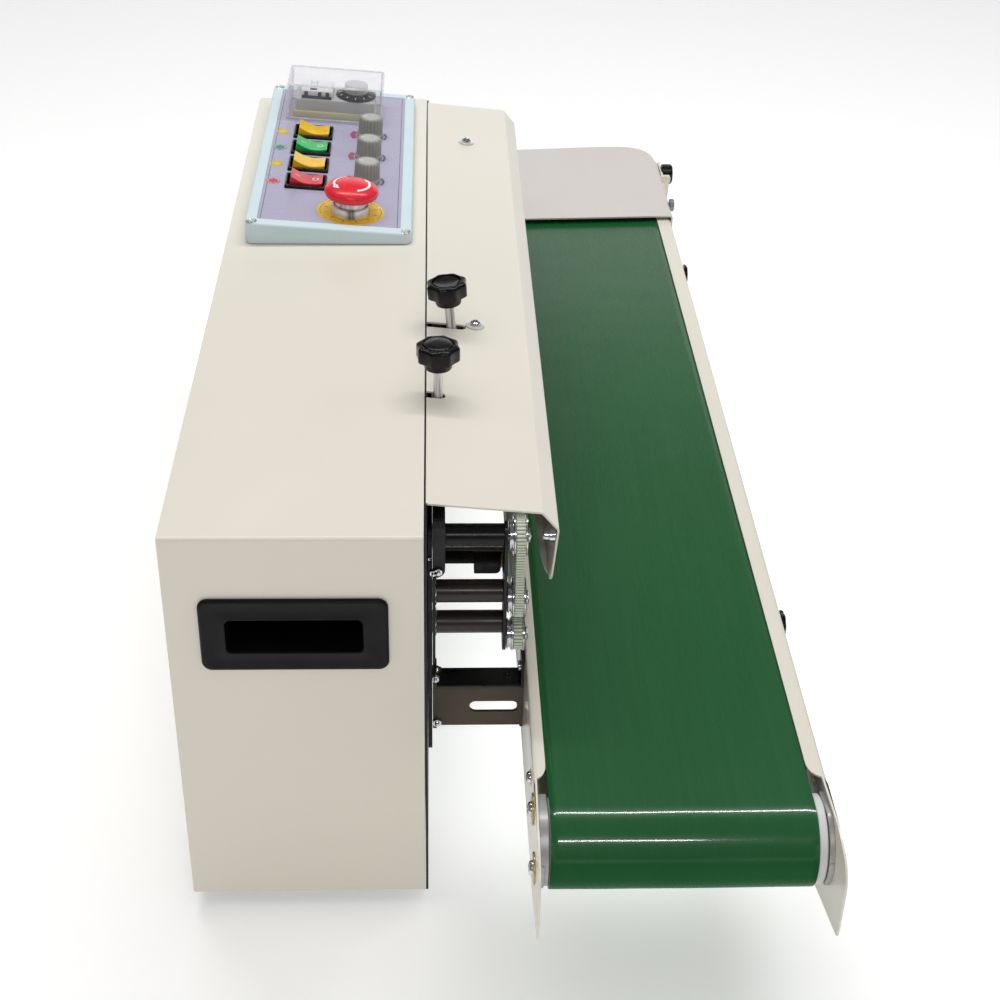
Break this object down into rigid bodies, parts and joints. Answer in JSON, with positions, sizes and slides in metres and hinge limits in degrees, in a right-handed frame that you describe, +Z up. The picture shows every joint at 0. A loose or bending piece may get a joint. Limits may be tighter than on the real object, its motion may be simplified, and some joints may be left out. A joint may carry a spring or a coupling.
{
  "type": "continuous band sealer",
  "caption": "Bench band sealer: beige housing, control panel, guarded sealing head with guide belts, and a flat green belt conveyor on brackets in front.",
  "frame": {"origin": "bottom centre of the whole machine, on the surface its feet stand on", "axes": "+X along the conveyor towards the delivery end, +Y from the conveyor to the housing's back, +Z up"},
  "size_m": [1.0354, 0.3986, 0.3368],
  "materials": {
    "aluminium": "machined",
    "beige_paint": "smooth beige powder coat",
    "black_paint": "black satin paint",
    "black_plastic": "moulded",
    "brass": "machined",
    "bright_steel": "turned and plated",
    "brown_band": "coated glass cloth band",
    "brown_steel": "dark bronze finish",
    "cast_grey": "grey painted casting",
    "clear_plastic": "clear, polished",
    "dark_red_plastic": "moulded, translucent look",
    "green_belt": "smooth glossy belting",
    "green_plastic": "moulded, translucent look",
    "grey_plastic": "moulded, fine ribs",
    "light_plastic": "moulded",
    "pale_plastic": "moulded frame",
    "red_plastic": "moulded, glossy",
    "rubber": "moulded",
    "warm_grey_paint": "smooth warm grey paint",
    "white_belt": "toothed belt",
    "yellow_plastic": "moulded, translucent look",
    "zinc_steel": "zinc plated"
  },
  "bodies": {
    "frame": {"base_plate": "zinc_steel", "control_box": "pale_plastic", "conveyor_belt": "green_belt", "drive_chain": "cast_grey", "drive_gearmotor": "cast_grey", "estop_collar": "bright_steel", "exit_plate": "warm_grey_paint", "far_bracket": "brown_steel", "foot_front_left": "rubber", "foot_front_right": "rubber", "foot_rear_left": "rubber", "foot_rear_right": "rubber", "front_panel": "black_paint", "guard_cover": "beige_paint", "head_plate": "black_paint", "idle_axle": "cast_grey", "inlet_bearing_block": "black_paint", "left_end_panel": "beige_paint", "left_handle": "black_plastic", "left_rail": "beige_paint", "lower_cooling_block": "aluminium", "lower_guide_belt": "white_belt", "lower_heating_block": "brass", "lower_seal_band": "brown_band", "near_bracket": "brown_steel", "rear_cover": "beige_paint", "right_end_panel": "beige_paint", "right_handle": "black_plastic", "right_rail": "beige_paint", "slider_bed": "aluminium", "temperature_controller": "light_plastic", "top_cover": "beige_paint", "upper_cooling_block": "aluminium", "upper_guide_belt": "white_belt", "upper_heating_block": "brass", "upper_seal_band": "brown_band"},
    "drive_roller": {"drive_roller": "aluminium"},
    "idle_roller": {"idle_roller": "light_plastic"},
    "upper_drive_wheel": {"upper_drive_wheel": "aluminium"},
    "lower_drive_wheel": {"lower_drive_wheel": "aluminium"},
    "upper_idler_wheel": {"upper_idler_wheel": "aluminium"},
    "lower_idler_wheel": {"lower_idler_wheel": "aluminium"},
    "guide_pulley_top": {"guide_pulley_top": "bright_steel"},
    "guide_pulley_middle": {"guide_pulley_middle": "bright_steel"},
    "guide_pulley_lower": {"guide_pulley_lower": "bright_steel"},
    "pressure_knob_a": {"pressure_knob_a": "black_plastic"},
    "pressure_knob_b": {"pressure_knob_b": "black_plastic"},
    "rocker_1": {"rocker_1": "dark_red_plastic"},
    "rocker_2": {"rocker_2": "yellow_plastic"},
    "rocker_3": {"rocker_3": "green_plastic"},
    "rocker_4": {"rocker_4": "yellow_plastic"},
    "speed_knob": {"speed_knob": "grey_plastic"},
    "heat_knob": {"heat_knob": "grey_plastic"},
    "fan_knob": {"fan_knob": "grey_plastic"},
    "temperature_dial": {"temperature_dial": "black_plastic"},
    "clear_cover": {"clear_cover": "clear_plastic"},
    "estop_button": {"estop_button": "red_plastic"},
    "rail_knob_near": {"rail_knob_near": "black_plastic"},
    "rail_knob_mid": {"rail_knob_mid": "black_plastic"},
    "exit_plate_knob": {"exit_plate_knob": "black_plastic"}
  },
  "joints": [
    {"name": "conveyor_drive_spin", "type": "hinge", "parent": "frame", "child": "drive_roller", "pos_m": [0.47865, -0.096, 0.134], "axis": [0, 1, 0], "continuous": true},
    {"name": "conveyor_idle_spin", "type": "hinge", "parent": "frame", "child": "idle_roller", "pos_m": [-0.46735, -0.096, 0.133], "axis": [0, 1, 0], "continuous": true},
    {"name": "upper_drive_spin", "type": "hinge", "parent": "frame", "child": "upper_drive_wheel", "pos_m": [0.21065, 0.03, 0.2335], "axis": [0, 1, 0], "continuous": true},
    {"name": "lower_drive_spin", "type": "hinge", "parent": "frame", "child": "lower_drive_wheel", "pos_m": [0.21065, 0.03, 0.1841], "axis": [0, 1, 0], "continuous": true},
    {"name": "upper_idler_spin", "type": "hinge", "parent": "frame", "child": "upper_idler_wheel", "pos_m": [-0.12735, 0.03, 0.2335], "axis": [0, 1, 0], "continuous": true},
    {"name": "lower_idler_spin", "type": "hinge", "parent": "frame", "child": "lower_idler_wheel", "pos_m": [-0.12735, 0.03, 0.1841], "axis": [0, 1, 0], "continuous": true},
    {"name": "guide_top_spin", "type": "hinge", "parent": "frame", "child": "guide_pulley_top", "pos_m": [-0.35435, -0.008, 0.2685], "axis": [0, 1, 0], "continuous": true},
    {"name": "guide_middle_spin", "type": "hinge", "parent": "frame", "child": "guide_pulley_middle", "pos_m": [-0.35435, -0.008, 0.2234], "axis": [0, 1, 0], "continuous": true},
    {"name": "guide_lower_spin", "type": "hinge", "parent": "frame", "child": "guide_pulley_lower", "pos_m": [-0.35435, -0.008, 0.1962], "axis": [0, 1, 0], "continuous": true},
    {"name": "pressure_knob_a_turn", "type": "hinge", "parent": "frame", "child": "pressure_knob_a", "pos_m": [-0.12935, 0.03389, 0.306], "axis": [0, 0.1045, 0.9945], "range_deg": [-180, 180]},
    {"name": "pressure_knob_b_turn", "type": "hinge", "parent": "frame", "child": "pressure_knob_b", "pos_m": [-0.22635, 0.0414, 0.3095], "axis": [0, 0, 1], "range_deg": [-180, 180]},
    {"name": "rocker_1_tip", "type": "hinge", "parent": "frame", "child": "rocker_1", "pos_m": [0.08215, 0.14395, 0.30555], "axis": [1, 0, 0], "range_deg": [-18, 0]},
    {"name": "rocker_2_tip", "type": "hinge", "parent": "frame", "child": "rocker_2", "pos_m": [0.11715, 0.14395, 0.30555], "axis": [1, 0, 0], "range_deg": [-18, 0]},
    {"name": "rocker_3_tip", "type": "hinge", "parent": "frame", "child": "rocker_3", "pos_m": [0.15215, 0.14395, 0.30555], "axis": [1, 0, 0], "range_deg": [-18, 0]},
    {"name": "rocker_4_tip", "type": "hinge", "parent": "frame", "child": "rocker_4", "pos_m": [0.18715, 0.14395, 0.30555], "axis": [1, 0, 0], "range_deg": [-18, 0]},
    {"name": "speed_knob_turn", "type": "hinge", "parent": "frame", "child": "speed_knob", "pos_m": [0.09465, 0.097, 0.30166], "axis": [0, -0.0718, 0.9974], "range_deg": [-270, 0]},
    {"name": "heat_knob_turn", "type": "hinge", "parent": "frame", "child": "heat_knob", "pos_m": [0.14365, 0.097, 0.30166], "axis": [0, -0.0718, 0.9974], "range_deg": [-270, 0]},
    {"name": "fan_knob_turn", "type": "hinge", "parent": "frame", "child": "fan_knob", "pos_m": [0.19065, 0.097, 0.30166], "axis": [0, -0.0718, 0.9974], "range_deg": [-270, 0]},
    {"name": "temperature_dial_turn", "type": "hinge", "parent": "frame", "child": "temperature_dial", "pos_m": [0.24115, 0.11032, 0.31866], "axis": [0, -0.0718, 0.9974], "range_deg": [-280, 0]},
    {"name": "clear_cover_lift", "type": "hinge", "parent": "frame", "child": "clear_cover", "pos_m": [0.24115, 0.16877, 0.30884], "axis": [1, 0, 0], "range_deg": [-90, 0]},
    {"name": "estop_press", "type": "slide", "parent": "frame", "child": "estop_button", "axis": [0, -0.0718, 0.9974], "range_m": [-0.0045, 0], "stiffness_N_per_m": 600, "springref_m": 0.002},
    {"name": "rail_knob_near_turn", "type": "hinge", "parent": "frame", "child": "rail_knob_near", "pos_m": [-0.28235, -0.1813, 0.146], "axis": [0, 1, 0], "range_deg": [-180, 180]},
    {"name": "rail_knob_mid_turn", "type": "hinge", "parent": "frame", "child": "rail_knob_mid", "pos_m": [0.24765, -0.1813, 0.146], "axis": [0, 1, 0], "range_deg": [-180, 180]},
    {"name": "exit_plate_knob_turn", "type": "hinge", "parent": "frame", "child": "exit_plate_knob", "pos_m": [0.45565, -0.1863, 0.1595], "axis": [0, 1, 0], "range_deg": [-180, 180]}
  ],
  "couplings": [
    {"joint": "conveyor_idle_spin", "follows": "conveyor_drive_spin", "ratio": 1},
    {"joint": "lower_drive_spin", "follows": "conveyor_drive_spin", "ratio": 1.0417},
    {"joint": "lower_idler_spin", "follows": "conveyor_drive_spin", "ratio": 1.0417},
    {"joint": "upper_drive_spin", "follows": "conveyor_drive_spin", "ratio": -1.0417},
    {"joint": "upper_idler_spin", "follows": "conveyor_drive_spin", "ratio": -1.0417},
    {"joint": "guide_top_spin", "follows": "conveyor_drive_spin", "ratio": -2.2076},
    {"joint": "guide_middle_spin", "follows": "conveyor_drive_spin", "ratio": -2.2076},
    {"joint": "guide_lower_spin", "follows": "conveyor_drive_spin", "ratio": 2.7037}
  ]
}
